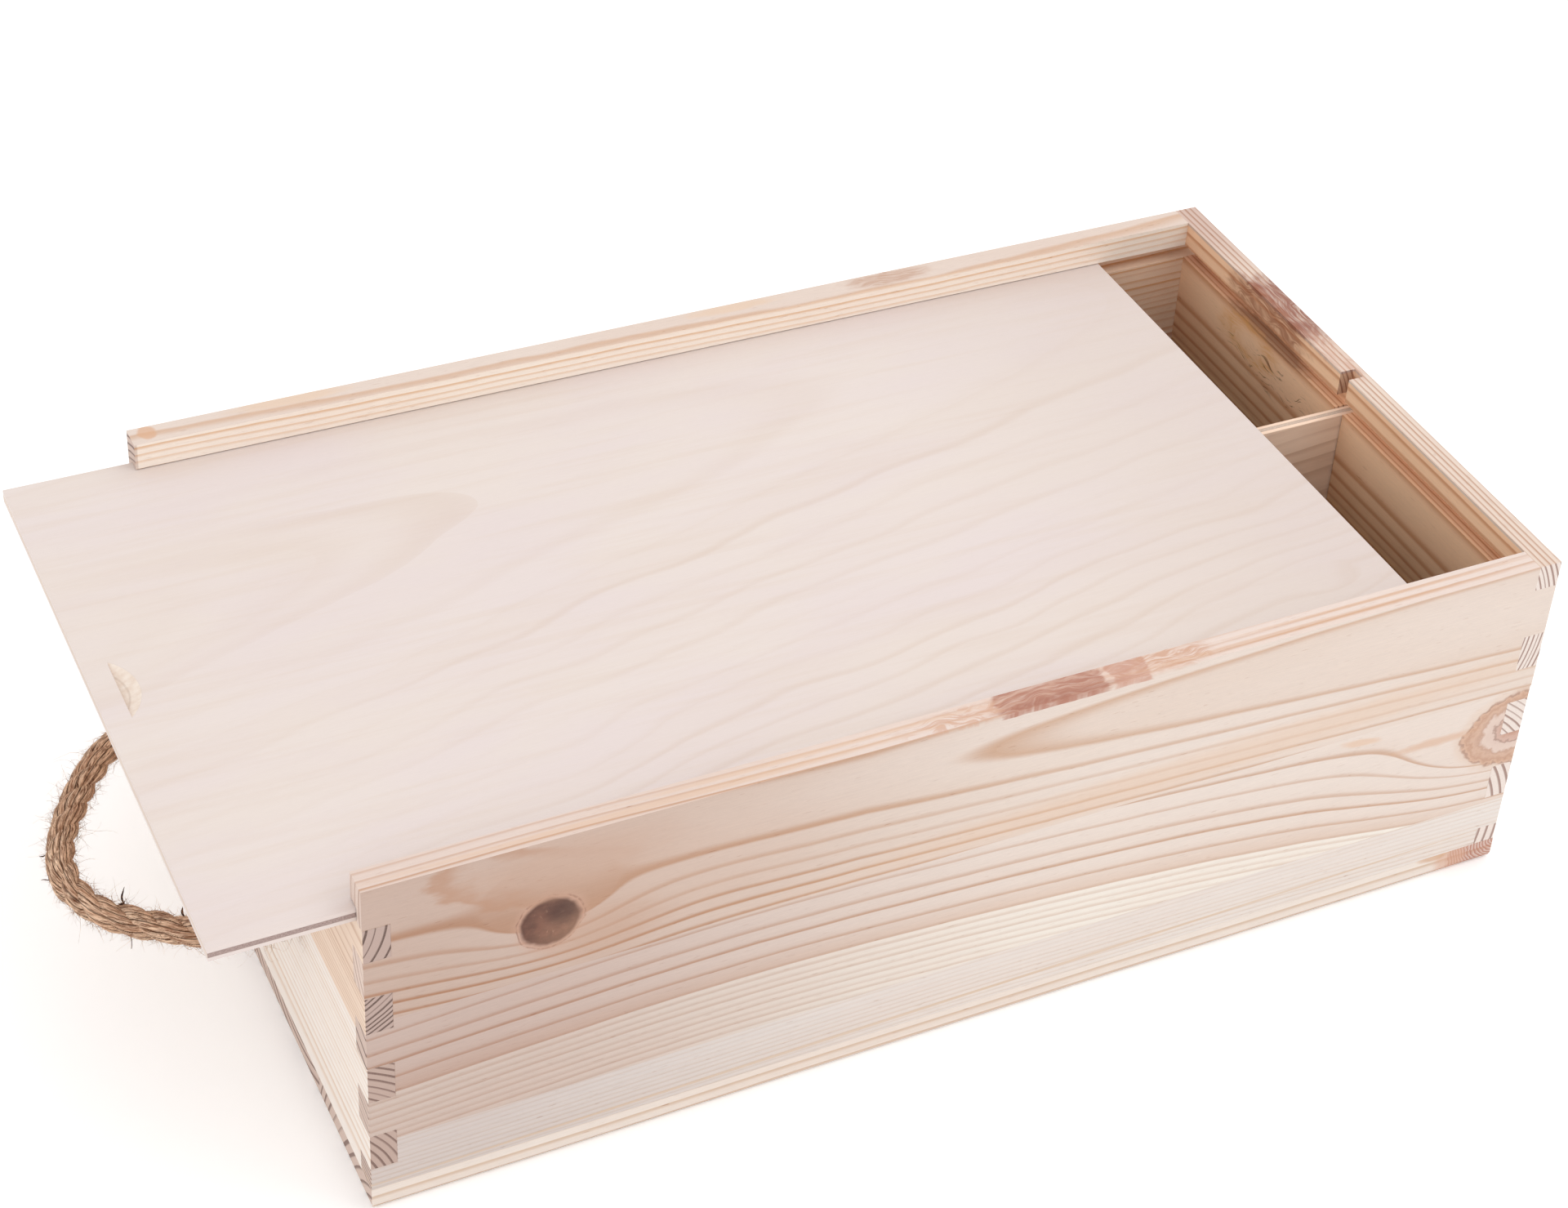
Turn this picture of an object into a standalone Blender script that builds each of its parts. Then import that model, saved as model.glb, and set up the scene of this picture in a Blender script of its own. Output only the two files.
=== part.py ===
"""Two-bottle gift crate: finger-jointed pine box, sliding plywood lid, divider and rope handle.

Frame: metres, +Z up. The origin is the centre of the box's underside. The box's long side runs
along X with the rope handle at -X, and the lid slides out towards -X. It is drawn partly open.

Every panel is edge-glued from separate staves and every stave is its own object. Neighbouring
solids keep a hairline gap so that none of them touch.
"""

from math import cos, pi, sin

import bmesh
import bpy
import numpy as np
from mathutils import Matrix, Vector

MM = 0.001

# Box
LENGTH = 350.0 * MM
WIDTH = 200.0 * MM
HEIGHT = 112.0 * MM
SIDE_T = 7.8 * MM
END_T = 7.2 * MM
BOTTOM_T = 7.5 * MM
GAP = 0.3 * MM
EASED_EDGE = 1.8 * MM  # rounding of the underside's outer edges

# Lid, the groove it runs in, and how far it stands open
LID_T = 4.0 * MM
LID_LENGTH = 347.0 * MM
LID_OPEN = 36.3 * MM
GROOVE_FLOOR = 99.2 * MM
GROOVE_TOP = 103.8 * MM
SIDE_GROOVE = 4.3 * MM
BACK_GROOVE = 4.5 * MM

# Thumb notch: a scoop behind a straight face near the lid's front edge
NOTCH_SETBACK = 6.6 * MM
NOTCH_CENTRE_Y = 2.2 * MM
NOTCH_RIM_R = 16.0 * MM
NOTCH_REACH = 5.4 * MM
NOTCH_SPHERE_R = 38.0 * MM
NOTCH_SEGMENTS = 96

# Divider, in upright slots in both end walls
DIVIDER_T = 3.8 * MM
DIVIDER_TOP = 98.9 * MM
SLOT_W = 4.4 * MM
SLOT_DEPTH = 5.0 * MM

# Finger joints: heights where the first whole tenon of each end wall starts
FINGER = 12.2 * MM
FRONT_TENON_START = 15.1 * MM
BACK_TENON_START = 25.8 * MM
TENONS_PER_END = 5

# Glue lines between staves: heights in the walls, Y positions in the bottom
NEAR_GLUE = (24.0 * MM, 67.0 * MM)
FAR_GLUE = (31.0 * MM, 71.0 * MM)
FRONT_GLUE = (59.2 * MM,)
BACK_GLUE = (44.0 * MM, 69.0 * MM)
BOTTOM_GLUE = (-58.0 * MM, -12.0 * MM, 40.0 * MM)

# Rope handle: 8 mm laid rope through two holes in the front wall, knotted inside
ROPE_D = 8.0 * MM
HOLE_D = 9.0 * MM
HOLE_Y = 44.0 * MM
HOLE_Z = 53.3 * MM
HINGE_OUT = 4.5 * MM  # the loop starts, and swings, this far in front of the wall
ROPE_END_OUT = 0.2 * MM  # how far the rope's fixed ends stand out of the wall
ROPE_SEGMENTS = 26
ROPE_ROUNDNESS = 4  # bevel resolution
# Route of the loop as (distance in front of the wall, Y), between the two exits
LOOP_ROUTE = (
    (13.0, -43.4), (25.4, -39.5), (33.2, -33.9), (40.4, -28.4), (46.3, -21.4), (49.6, -13.4),
    (50.3, -5.1), (48.7, 3.4), (45.0, 12.2), (39.8, 21.4), (33.2, 31.0), (25.0, 39.0), (13.0, 43.2),
)
KNOT_R = 10.5 * MM
KNOT_FACE_R = 5.2 * MM
KNOT_LENGTH = 19.0 * MM
TAIL_LENGTH = 9.0 * MM
KNOT_SEGMENTS = 24

FRONT_X = -LENGTH / 2
BACK_X = LENGTH / 2
WALL_BOTTOM = BOTTOM_T + GAP
HALF_GAP = GAP / 2
PAST = 2.0 * MM  # how far a cutter runs past the faces it cuts

PINE = (0.80, 0.62, 0.46, 1.0)
BIRCH = (0.86, 0.76, 0.68, 1.0)
JUTE = (0.42, 0.29, 0.18, 1.0)


def material(name, colour, roughness):
    mat = bpy.data.materials.new(name)
    mat.use_nodes = True
    shader = mat.node_tree.nodes["Principled BSDF"]
    shader.inputs["Base Color"].default_value = colour
    shader.inputs["Roughness"].default_value = roughness
    shader.inputs["Metallic"].default_value = 0.0
    mat.diffuse_color = colour
    return mat


def add_object(name, data, mat=None):
    obj = bpy.data.objects.new(name, data)
    bpy.context.collection.objects.link(obj)
    if mat is not None:
        data.materials.append(mat)
    return obj


def mesh_object(name, bm, mat=None):
    bmesh.ops.recalc_face_normals(bm, faces=bm.faces)
    mesh = bpy.data.meshes.new(name)
    bm.to_mesh(mesh)
    bm.free()
    return add_object(name, mesh, mat)


def box_mesh(low, high):
    low, high = Vector(low), Vector(high)
    bm = bmesh.new()
    bmesh.ops.create_cube(bm, size=1.0)
    bmesh.ops.scale(bm, vec=high - low, verts=bm.verts)
    bmesh.ops.translate(bm, vec=(low + high) / 2, verts=bm.verts)
    return bm


def as_cutter(obj):
    obj.hide_render = True
    obj.display_type = "WIRE"
    return obj


def box_cutter(name, low, high):
    return as_cutter(mesh_object(name, box_mesh(low, high)))


def cut(obj, cutter):
    boolean = obj.modifiers.new(cutter.name, "BOOLEAN")
    boolean.operation = "DIFFERENCE"
    boolean.solver = "EXACT"
    boolean.object = cutter


def extruded(name, outline, place, thickness, mat):
    """A board: the outline, as (along, z) points, placed in 3-D and extruded by thickness."""
    bm = bmesh.new()
    face = bm.faces.new([bm.verts.new(place(a, z)) for a, z in outline])
    swept = bmesh.ops.extrude_face_region(bm, geom=[face])
    moved = [v for v in swept["geom"] if isinstance(v, bmesh.types.BMVert)]
    bmesh.ops.translate(bm, vec=thickness, verts=moved)
    return mesh_object(name, bm, mat)


def toothed_edge(outer, inner, low, high, sockets):
    """One end of a stave from low to high: at outer, stepping back to inner at each socket."""
    points = []
    level = low
    for start, end in sockets:
        start, end = max(start, low), min(end, high)
        if end <= start:
            continue
        if start > level:
            points += [(outer, level), (outer, start)]
        points += [(inner, start), (inner, end)]
        level = end
    if level < high:
        points += [(outer, level), (outer, high)]
    return points


def stave_outline(first, last, low, high):
    """Closed outline of a stave: first end upwards, then the last end downwards.

    Each end is given as (outer, inner, sockets)."""
    up = toothed_edge(first[0], first[1], low, high, first[2])
    down = toothed_edge(last[0], last[1], low, high, last[2])
    return up + down[::-1]


def stave_levels(bottom, top, glue_lines):
    """Lowest and highest level of every stave of a panel, with half the gap at each glue line."""
    lows = [bottom] + [g + HALF_GAP for g in glue_lines]
    highs = [g - HALF_GAP for g in glue_lines] + [top]
    return list(zip(lows, highs))


def tenon_spans(start, top):
    spans = [(start + 2 * FINGER * i, start + FINGER * (2 * i + 1)) for i in range(TENONS_PER_END)]
    return [(a, min(b, top)) for a, b in spans if a < top]


def widened(spans, by):
    return [(a - by, b + by) for a, b in spans]


def between(spans, low, high):
    """The spans left over between the given ones, from low to high."""
    edges = [low] + [level for span in spans for level in span] + [high]
    return [(a, b) for a, b in zip(edges[::2], edges[1::2]) if b > a]


def smooth_route(points, count):
    """count points, evenly spaced along a natural cubic spline through the points."""
    pts = np.array(points, float)
    chord = np.concatenate([[0.0], np.cumsum(np.linalg.norm(np.diff(pts, axis=0), axis=1))])
    h = np.diff(chord)
    n = len(pts)
    system = np.eye(n)
    rhs = np.zeros((n, 3))
    for i in range(1, n - 1):
        system[i, i - 1:i + 2] = h[i - 1], 2 * (h[i - 1] + h[i]), h[i]
        rhs[i] = 6 * ((pts[i + 1] - pts[i]) / h[i] - (pts[i] - pts[i - 1]) / h[i - 1])
    bend = np.linalg.solve(system, rhs)

    def at(t):
        i = min(np.searchsorted(chord, t, side="right") - 1, n - 2)
        a, b = (chord[i + 1] - t) / h[i], (t - chord[i]) / h[i]
        curve = (a ** 3 - a) * bend[i] + (b ** 3 - b) * bend[i + 1]
        return a * pts[i] + b * pts[i + 1] + curve * h[i] ** 2 / 6

    fine = np.array([at(t) for t in np.linspace(0.0, chord[-1], 40 * n)])
    run = np.concatenate([[0.0], np.cumsum(np.linalg.norm(np.diff(fine, axis=0), axis=1))])
    even = np.linspace(0.0, run[-1], count)
    return np.stack([np.interp(even, run, fine[:, k]) for k in range(3)], axis=1)


def rope_tube(name, route, origin, mat):
    """A round tube along the route, with its object's origin at the given point."""
    curve = bpy.data.curves.new(name, "CURVE")
    curve.dimensions = "3D"
    curve.bevel_depth = ROPE_D / 2
    curve.bevel_resolution = ROPE_ROUNDNESS
    curve.use_fill_caps = True
    spline = curve.splines.new("POLY")
    spline.points.add(len(route) - 1)
    for point, place in zip(spline.points, route):
        point.co = (*(Vector(place) - Vector(origin)), 1.0)
    spline.use_smooth = True
    obj = add_object(name, curve, mat)
    obj.location = origin
    return obj


def turned(name, profile, segments, axis, centre, mat=None):
    """A closed solid turned about an axis through centre; profile is (along axis, radius)."""
    bm = bmesh.new()
    verts = [bm.verts.new((0.0, r, a)) for a, r in profile]
    edges = [bm.edges.new(pair) for pair in zip(verts, verts[1:])]
    bmesh.ops.spin(
        bm, geom=verts + edges, cent=(0, 0, 0), axis=(0, 0, 1), angle=2 * pi,
        steps=segments, use_merge=True, use_duplicate=False,
    )
    bmesh.ops.remove_doubles(bm, verts=bm.verts, dist=0.001 * MM)
    turn = Vector((0, 0, 1)).rotation_difference(Vector(axis)).to_matrix().to_4x4()
    bmesh.ops.transform(bm, matrix=Matrix.Translation(centre) @ turn, verts=bm.verts)
    return mesh_object(name, bm, mat)


def wall_joints():
    """Tenons of both end walls, and the sockets that they need in the side walls."""
    front = tenon_spans(FRONT_TENON_START, GROOVE_FLOOR)
    whole = [span for span in tenon_spans(BACK_TENON_START, GROOVE_FLOOR) if span[1] < GROOVE_FLOOR]
    foot = (WALL_BOTTOM, BACK_TENON_START - FINGER)
    top = (GROOVE_TOP, HEIGHT)
    return front, [foot] + whole + [top]


def side_wall(name, sign, glue_lines, mat):
    """A long wall; sign is -1 for the near side (-Y) and +1 for the far side."""
    front_tenons, back_tenons = wall_joints()
    front = (FRONT_X, FRONT_X + END_T + GAP, widened(front_tenons, HALF_GAP))
    back = (BACK_X, BACK_X - END_T - GAP, widened(back_tenons, HALF_GAP))
    outer_y = sign * WIDTH / 2
    inner_y = sign * (WIDTH / 2 - SIDE_T)
    groove = box_cutter(
        f"cut_{name}_groove",
        (FRONT_X - PAST, min(inner_y + sign * SIDE_GROOVE, inner_y - sign * PAST), GROOVE_FLOOR),
        (BACK_X + PAST, max(inner_y + sign * SIDE_GROOVE, inner_y - sign * PAST), GROOVE_TOP),
    )
    for number, (low, high) in enumerate(stave_levels(WALL_BOTTOM, HEIGHT, glue_lines), 1):
        stave = extruded(
            f"{name}_stave_{number}", stave_outline(front, back, low, high),
            lambda x, z: (x, outer_y, z), (0, inner_y - outer_y, 0), mat,
        )
        if high > GROOVE_TOP:
            cut(stave, groove)


def end_wall(name, sign, top, tenons, glue_lines, mat):
    """A short wall; sign is -1 for the front (-X) and +1 for the back."""
    outer_x = sign * LENGTH / 2
    inner_x = sign * (LENGTH / 2 - END_T)
    sockets = widened(between(tenons, WALL_BOTTOM, top), HALF_GAP)
    shoulder = WIDTH / 2 - SIDE_T - GAP
    left, right = (-WIDTH / 2, -shoulder, sockets), (WIDTH / 2, shoulder, sockets)
    slot_end = inner_x + sign * SLOT_DEPTH
    slot = box_cutter(
        f"cut_{name}_slot",
        (min(slot_end, inner_x - sign * PAST), -SLOT_W / 2, WALL_BOTTOM - PAST),
        (max(slot_end, inner_x - sign * PAST), SLOT_W / 2, HEIGHT + PAST),
    )
    staves = []
    for number, (low, high) in enumerate(stave_levels(WALL_BOTTOM, top, glue_lines), 1):
        stave = extruded(
            f"{name}_stave_{number}", stave_outline(left, right, low, high),
            lambda y, z: (outer_x, y, z), (inner_x - outer_x, 0, 0), mat,
        )
        cut(stave, slot)
        staves.append(stave)
    return staves


def rope_holes(stave):
    for side, sign in (("near", -1), ("far", 1)):
        profile = [(-END_T, 0.0), (-END_T, HOLE_D / 2), (END_T, HOLE_D / 2), (END_T, 0.0)]
        centre = (FRONT_X + END_T / 2, sign * HOLE_Y, HOLE_Z)
        hole = as_cutter(turned(f"cut_hole_{side}", profile, 32, (1, 0, 0), centre))
        cut(stave, hole)


def bottom_boards(mat):
    """Strips side by side, with the outer edges of the underside rounded."""
    spans = stave_levels(-WIDTH / 2, WIDTH / 2, BOTTOM_GLUE)
    for number, (low, high) in enumerate(spans, 1):
        bm = box_mesh((FRONT_X, low, 0), (BACK_X, high, BOTTOM_T))

        def on_rim(edge):
            a, b = (v.co for v in edge.verts)
            below = max(a.z, b.z) < BOTTOM_T / 2
            at_end = abs(abs(a.x + b.x) - LENGTH) < MM / 10
            at_side = abs(abs(a.y + b.y) - WIDTH) < MM / 10
            return below and (at_end or at_side)

        bmesh.ops.bevel(
            bm, geom=[e for e in bm.edges if on_rim(e)], offset=EASED_EDGE, segments=3,
            profile=0.5, affect="EDGES", clamp_overlap=True,
        )
        mesh_object(f"bottom_stave_{number}", bm, mat)


def back_wall(mat):
    """The tall end wall, with the lid's groove along its inner face below the rim."""
    inner_x = BACK_X - END_T
    groove = box_cutter(
        "cut_back_groove",
        (inner_x - PAST, -WIDTH / 2 - PAST, GROOVE_FLOOR),
        (inner_x + BACK_GROOVE, WIDTH / 2 + PAST, GROOVE_TOP),
    )
    staves = end_wall("back", 1, HEIGHT, wall_joints()[1], BACK_GLUE, mat)
    cut(staves[-1], groove)


def front_wall(mat):
    """The low end wall under the lid, with the two rope holes in its lower stave."""
    staves = end_wall("front", -1, GROOVE_FLOOR, wall_joints()[0], FRONT_GLUE, mat)
    rope_holes(staves[0])


def divider(mat):
    reach = LENGTH / 2 - END_T + SLOT_DEPTH - GAP
    low = (-reach, -DIVIDER_T / 2, WALL_BOTTOM)
    mesh_object("divider", box_mesh(low, (reach, DIVIDER_T / 2, DIVIDER_TOP)), mat)


def notch_cutter(front_edge, lid_top):
    """A scoop: the cap of a large sphere, cut off by the notch's straight front face."""
    centre = Vector((front_edge + NOTCH_SETBACK + NOTCH_REACH - NOTCH_RIM_R, NOTCH_CENTRE_Y, lid_top))
    lift = (NOTCH_SPHERE_R ** 2 - NOTCH_RIM_R ** 2) ** 0.5
    radii = np.linspace(0.5, 1.1, 8) * NOTCH_RIM_R
    bowl = [(lift - (NOTCH_SPHERE_R ** 2 - r ** 2) ** 0.5, r) for r in radii]
    profile = [(bowl[0][0], 0.0)] + bowl + [(LID_T, radii[-1]), (LID_T, 0.0)]
    cutter = turned("cut_notch", profile, NOTCH_SEGMENTS, (0, 0, 1), centre)
    bm = bmesh.new()
    bm.from_mesh(cutter.data)
    bmesh.ops.bisect_plane(
        bm, geom=bm.verts[:] + bm.edges[:] + bm.faces[:],
        plane_co=(front_edge + NOTCH_SETBACK, 0, 0), plane_no=(1, 0, 0), clear_inner=True,
    )
    bmesh.ops.edgenet_fill(bm, edges=[e for e in bm.edges if e.is_boundary])
    bmesh.ops.recalc_face_normals(bm, faces=bm.faces)
    bm.to_mesh(cutter.data)
    bm.free()
    return as_cutter(cutter)


def lid(mat):
    """The sliding lid, pulled out by LID_OPEN. Its origin is the middle of its front edge."""
    front_edge = FRONT_X - LID_OPEN
    underside = GROOVE_FLOOR + GAP
    half = WIDTH / 2 - SIDE_T + SIDE_GROOVE - GAP
    origin = Vector((front_edge, 0, underside))
    board = mesh_object("lid", box_mesh((0, -half, 0), (LID_LENGTH, half, LID_T)), mat)
    board.location = origin
    cut(board, notch_cutter(front_edge, underside + LID_T))


def rope_handle(mat):
    """The rope's two fixed ends with their knots, and the loop between them."""
    inner_x = FRONT_X + END_T
    face_x = inner_x + GAP
    for side, sign in (("near", -1), ("far", 1)):
        start, end = FRONT_X - ROPE_END_OUT, inner_x
        straight = [(x, sign * HOLE_Y, HOLE_Z) for x in np.linspace(start, end, 3)]
        rope_tube(f"rope_end_{side}", straight, straight[1], mat)
        angles = np.linspace(0.0, pi, 9)[1:-1]
        bulge = [(KNOT_LENGTH * (1 - cos(a)) / 2, KNOT_FACE_R + (KNOT_R - KNOT_FACE_R) * sin(a))
                 for a in angles]
        profile = (
            [(0.0, 0.0), (0.0, KNOT_FACE_R)] + bulge
            + [(KNOT_LENGTH, ROPE_D / 2), (KNOT_LENGTH + TAIL_LENGTH, ROPE_D / 2)]
            + [(KNOT_LENGTH + TAIL_LENGTH, 0.0)]
        )
        knot = turned(
            f"knot_{side}", profile, KNOT_SEGMENTS, (1, 0, 0), (face_x, sign * HOLE_Y, HOLE_Z), mat
        )
        knot.data.shade_smooth()
    hinge = (FRONT_X - HINGE_OUT, 0.0, HOLE_Z)
    route = [(FRONT_X - HINGE_OUT, -HOLE_Y, HOLE_Z)]
    route += [(FRONT_X - out * MM, y * MM, HOLE_Z) for out, y in LOOP_ROUTE]
    route += [(FRONT_X - HINGE_OUT, HOLE_Y, HOLE_Z)]
    rope_tube("rope_loop", smooth_route(route, ROPE_SEGMENTS), hinge, mat)


def main():
    for obj in list(bpy.data.objects):
        bpy.data.objects.remove(obj, do_unlink=True)
    pine = material("pine", PINE, 0.65)
    birch = material("birch_plywood", BIRCH, 0.6)
    jute = material("jute", JUTE, 0.95)
    bottom_boards(pine)
    side_wall("near", -1, NEAR_GLUE, pine)
    side_wall("far", 1, FAR_GLUE, pine)
    front_wall(pine)
    back_wall(pine)
    divider(birch)
    lid(birch)
    rope_handle(jute)


main()
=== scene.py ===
"""Looks of the two-bottle gift crate: pine boards, plywood lid and divider, laid jute rope.

The tables and the shaders are in millimetres of the shared frame, the meshes in metres.
"""

from math import cos, pi, radians, sin, tau

import bmesh
import bpy
import numpy as np
from mathutils import Matrix, Vector


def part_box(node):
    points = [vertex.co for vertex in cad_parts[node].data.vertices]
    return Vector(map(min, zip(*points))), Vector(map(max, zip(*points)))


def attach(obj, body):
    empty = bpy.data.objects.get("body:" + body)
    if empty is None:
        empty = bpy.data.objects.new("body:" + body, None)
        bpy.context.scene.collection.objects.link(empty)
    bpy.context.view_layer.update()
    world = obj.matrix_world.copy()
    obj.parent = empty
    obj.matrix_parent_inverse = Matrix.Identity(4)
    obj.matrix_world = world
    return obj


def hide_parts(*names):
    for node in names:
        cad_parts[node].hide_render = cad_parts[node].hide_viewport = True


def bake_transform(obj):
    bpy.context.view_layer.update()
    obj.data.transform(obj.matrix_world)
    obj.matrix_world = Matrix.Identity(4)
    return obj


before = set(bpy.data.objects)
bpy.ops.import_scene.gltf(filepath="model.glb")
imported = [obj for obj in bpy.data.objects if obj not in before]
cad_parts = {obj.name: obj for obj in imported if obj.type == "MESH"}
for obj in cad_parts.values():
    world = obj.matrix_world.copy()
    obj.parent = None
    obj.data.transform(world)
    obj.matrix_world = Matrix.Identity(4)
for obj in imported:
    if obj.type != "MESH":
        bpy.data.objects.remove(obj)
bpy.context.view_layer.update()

MM = 0.001
HALF_LENGTH, HALF_WIDTH, HEIGHT = 175.0, 100.0, 112.0
FRONT_TOP = 99.2  # top of the low front wall
END_T, SIDE_T, BOTTOM_T = 7.2, 7.8, 7.5  # thickness of end walls, side walls and bottom
HOLE_Y, HOLE_Z = 44.0 * MM, 53.3 * MM  # the rope's holes


def add_object(name, data):
    obj = bpy.data.objects.new(name, data)
    bpy.context.scene.collection.objects.link(obj)
    return obj


# -------- camera

def make_camera():
    """The photo's camera, solved from the perspective of the box's edges."""
    position = Vector((-0.339496, -0.626506, 0.640981))
    forward = Vector((0.39444685, 0.70242451, -0.59246222))
    right = Vector((0.89379348, -0.44300837, 0.06983412))
    up = right.cross(forward)
    data = bpy.data.cameras.new("camera")
    data.sensor_width, data.lens = 36.0, 72.87
    data.shift_x, data.shift_y = -0.0629, -0.0758
    data.clip_start = 0.01
    camera = add_object("camera", data)
    turn = Matrix((right, up, -forward)).transposed()
    camera.matrix_world = Matrix.Translation(position) @ turn.to_4x4()
    bpy.context.scene.camera = camera


make_camera()


# -------- shader arithmetic

class Value:
    """A socket of a node tree that can be calculated with."""

    def __init__(self, tree, socket):
        self.tree, self.socket = tree, socket

    def math(self, kind, *others):
        return calc(self.tree, kind, self, *others)

    def __add__(self, other):
        return self.math("ADD", other)

    def __sub__(self, other):
        return self.math("SUBTRACT", other)

    def __rsub__(self, other):
        return calc(self.tree, "SUBTRACT", other, self)

    def __mul__(self, other):
        return self.math("MULTIPLY", other)

    def __truediv__(self, other):
        return self.math("DIVIDE", other)

    def __rtruediv__(self, other):
        return calc(self.tree, "DIVIDE", other, self)


def put(tree, socket, value):
    if isinstance(value, Value):
        tree.links.new(value.socket, socket)
    else:
        socket.default_value = value


def calc(tree, kind, *items):
    node = tree.nodes.new("ShaderNodeMath")
    node.operation = kind
    for socket, item in zip(node.inputs, items):
        put(tree, socket, item)
    return Value(tree, node.outputs[0])


def square(v):
    return v * v


def root(v):
    return v.math("SQRT")


def ramp_up(v, low, high):
    """0 below low, 1 above high, smooth between them. low may be above high."""
    node = v.tree.nodes.new("ShaderNodeMapRange")
    node.interpolation_type = "SMOOTHSTEP"
    put(v.tree, node.inputs["Value"], v)
    put(v.tree, node.inputs["From Min"], low)
    put(v.tree, node.inputs["From Max"], high)
    return Value(v.tree, node.outputs["Result"])


def vector(tree, x, y, z):
    node = tree.nodes.new("ShaderNodeCombineXYZ")
    for socket, item in zip(node.inputs, (x, y, z)):
        put(tree, socket, item)
    return Value(tree, node.outputs[0])


def noise(tree, x, y, z, detail=2.0, rough=0.5):
    node = tree.nodes.new("ShaderNodeTexNoise")
    put(tree, node.inputs["Vector"], vector(tree, x, y, z))
    node.inputs["Scale"].default_value = 1.0
    node.inputs["Detail"].default_value = detail
    node.inputs["Roughness"].default_value = rough
    return Value(tree, node.outputs["Fac"])


def random_of(v, seed):
    node = v.tree.nodes.new("ShaderNodeTexWhiteNoise")
    node.noise_dimensions = "2D"
    put(v.tree, node.inputs["Vector"], vector(v.tree, v, seed, 0.0))
    return Value(v.tree, node.outputs["Value"])


def mix(fac, a, b, kind="MIX"):
    """Colours a to b as fac goes from 0 to 1; either may be a plain colour."""
    tree = fac.tree if isinstance(fac, Value) else a.tree
    node = tree.nodes.new("ShaderNodeMix")
    node.data_type, node.blend_type = "RGBA", kind
    put(tree, node.inputs[0], fac)
    put(tree, node.inputs[6], a)
    put(tree, node.inputs[7], b)
    return Value(tree, node.outputs[2])


def zoned(v, zones):
    """Colour that follows v from zone to zone; zones holds (v, colour) pairs."""
    node = v.tree.nodes.new("ShaderNodeValToRGB")
    stops = node.color_ramp.elements
    for _ in range(len(zones) - 2):
        stops.new(0.5)
    for stop, (place, colour) in zip(stops, zones):
        stop.position, stop.color = place, colour
    put(v.tree, node.inputs["Fac"], v)
    return Value(v.tree, node.outputs["Color"])


def rgb(red, green, blue):
    """A colour given in display values, 0 to 255, as the linear one that shaders use."""
    def linear(c):
        c /= 255.0
        return c / 12.92 if c <= 0.04045 else ((c + 0.055) / 1.055) ** 2.4
    return (linear(red), linear(green), linear(blue), 1.0)


def split(tree, socket):
    parts = tree.nodes.new("ShaderNodeSeparateXYZ")
    tree.links.new(socket, parts.inputs[0])
    return [Value(tree, s) for s in parts.outputs]


def coordinates(tree):
    """x, y and z of the object's own coordinates, in millimetres."""
    source = tree.nodes.new("ShaderNodeTexCoord")
    return [v * 1000.0 for v in split(tree, source.outputs["Object"])]


def face_normal(tree):
    source = tree.nodes.new("ShaderNodeNewGeometry")
    return split(tree, source.outputs["True Normal"])


def new_material(name, roughness, specular):
    mat = bpy.data.materials.new(name)
    mat.use_nodes = True
    shader = mat.node_tree.nodes["Principled BSDF"]
    shader.inputs["Roughness"].default_value = roughness
    shader.inputs["Specular IOR Level"].default_value = specular
    return mat, mat.node_tree, shader


def add_bump(tree, shader, height, distance):
    bump = tree.nodes.new("ShaderNodeBump")
    bump.inputs["Strength"].default_value = 1.0
    bump.inputs["Distance"].default_value = distance
    put(tree, bump.inputs["Height"], height)
    tree.links.new(bump.outputs["Normal"], shader.inputs["Normal"])


# -------- wood

# For each kind of board, which of x, y and z are a along, b across and c into the grain
AXES = {"side": (0, 2, 1), "end": (1, 2, 0), "flat": (0, 1, 2)}

PINE_EARLY = rgb(226, 208, 194)
PINE_LATE = rgb(184, 142, 112)
PINE_HEART = rgb(210, 178, 154)
PINE_PALE = rgb(231, 218, 205)
CANAL = rgb(160, 112, 82)
KNOT_DARK = rgb(112, 74, 58)
KNOT_RED = rgb(190, 128, 100)
END_GROUND = rgb(206, 184, 172)
END_LINE = rgb(104, 78, 70)
# The next colour is painted shade: the warm darkening of faces inside the box below the lid.
INNER_SHADE_TINT = rgb(244, 208, 168)
PINE_RELIEF, PLY_RELIEF, ROPE_RELIEF = 0.07 * MM, 0.05 * MM, 0.22 * MM


def warped(tree, a, b, c, spec, seed):
    """The cross-grain coordinate b, bent by waves, ridges and bulges of the grain."""
    along, across = spec.get("swell", (150.0, 40.0))
    wave = noise(tree, a / along + seed, b / across, c / 40.0 + seed, 1.0) - 0.5
    fine = noise(tree, a / 22.0 + seed, b / 7.0 + seed, c / 7.0, 2.0) - 0.5
    u = b + wave * (2 * spec.get("wave", 1.6)) + fine * (2 * spec.get("ripple", 0.22))
    for a0, width, slope in spec.get("ridges", ()):
        u = u + (root(square(a - a0) + width * width) - width) * slope
    for a0, b0, sa, sb, rise in spec.get("bulges", ()):
        near = square((a - a0) / sa) + square((b - b0) / sb)
        u = u - (near * -1.0).math("EXPONENT") * rise
    return u


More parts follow.
